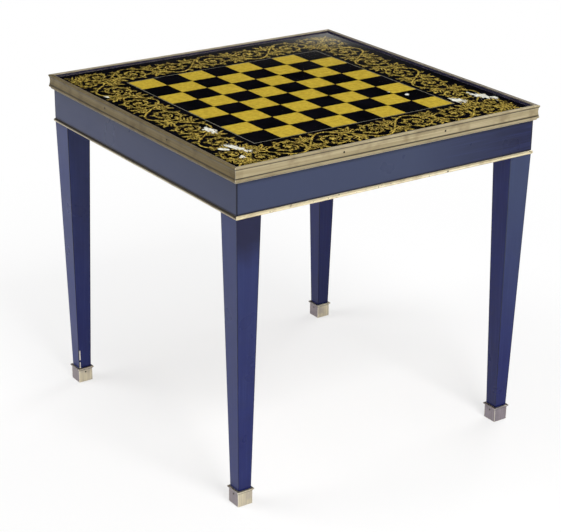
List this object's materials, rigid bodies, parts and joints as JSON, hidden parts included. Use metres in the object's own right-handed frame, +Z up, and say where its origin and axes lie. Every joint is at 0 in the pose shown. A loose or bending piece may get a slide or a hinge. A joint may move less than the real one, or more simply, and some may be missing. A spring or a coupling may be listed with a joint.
{
  "type": "games table",
  "caption": "Square games table on tapered legs with brass feet, its top a gold and black chessboard painted under glass inside a moulded brass rim",
  "frame": {"origin": "on the floor under the middle of the square table", "axes": "+Z is up, the front faces -Y, and the left side faces -X; the two are alike but for the chessboard"},
  "size_m": [0.75, 0.75, 0.728],
  "materials": {
    "blue_lacquer": "satin blue lacquer",
    "navy_lacquer": "dark navy lacquer",
    "plain_wood": "bare softwood",
    "rim_brass": "aged silvery brass",
    "bead_brass": "worn bright brass",
    "sabot_brass": "pale polished brass",
    "screw_steel": "plain steel",
    "white_card": "matt white card",
    "black_paint": "black paint on the back of the glass",
    "gold_leaf": "mottled gold leaf",
    "clear_glass": "clear polished glass"
  },
  "bodies": {
    "table": {"leg_front_left": "blue_lacquer", "sabot_front_left": "sabot_brass", "leg_front_right": "blue_lacquer", "sabot_front_right": "sabot_brass", "leg_back_right": "blue_lacquer", "sabot_back_right": "sabot_brass", "leg_back_left": "blue_lacquer", "sabot_back_left": "sabot_brass", "apron_front": "blue_lacquer", "apron_bead_front": "bead_brass", "cleat_front": "plain_wood", "lipping_front": "navy_lacquer", "rim_front": "rim_brass", "apron_right": "blue_lacquer", "apron_bead_right": "bead_brass", "cleat_right": "plain_wood", "lipping_right": "navy_lacquer", "rim_right": "rim_brass", "apron_back": "blue_lacquer", "apron_bead_back": "bead_brass", "cleat_back": "plain_wood", "lipping_back": "navy_lacquer", "rim_back": "rim_brass", "apron_left": "blue_lacquer", "apron_bead_left": "bead_brass", "cleat_left": "plain_wood", "lipping_left": "navy_lacquer", "rim_left": "rim_brass", "cleat_screws": "screw_steel", "top_board": "plain_wood", "backing_card": "white_card"},
    "glass_panel": {"glass_sheet": "clear_glass", "painted_ground": "black_paint", "gold_squares": "gold_leaf", "gold_line": "gold_leaf"}
  },
  "joints": [
    {"name": "glass_lift", "type": "slide", "parent": "table", "child": "glass_panel", "axis": [0, 0, 1], "range_m": [0, 0.05]}
  ]
}
